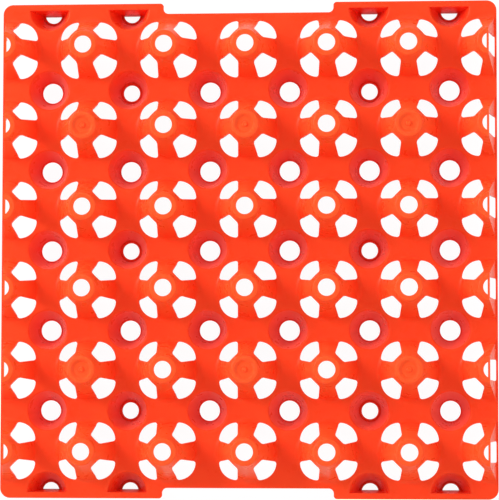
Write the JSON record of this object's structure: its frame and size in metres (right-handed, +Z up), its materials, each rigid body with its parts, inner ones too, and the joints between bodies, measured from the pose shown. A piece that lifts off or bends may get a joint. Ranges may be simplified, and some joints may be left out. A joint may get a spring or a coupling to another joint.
{
  "type": "plastic egg tray",
  "caption": "Square moulded plastic egg tray with windowed domes, open pits between them, flat flange and two finger notches.",
  "frame": {"origin": "centre of the tray in plan, at the plane its feet stand on", "axes": "+Z up, from the feet to the dome tops; the edges with the finger notches face +Y and -Y"},
  "size_m": [0.296, 0.296, 0.0465],
  "materials": {
    "tray_plastic": "glossy orange-red, slightly translucent"
  },
  "bodies": {
    "root": {"tray": "tray_plastic"}
  },
  "joints": []
}
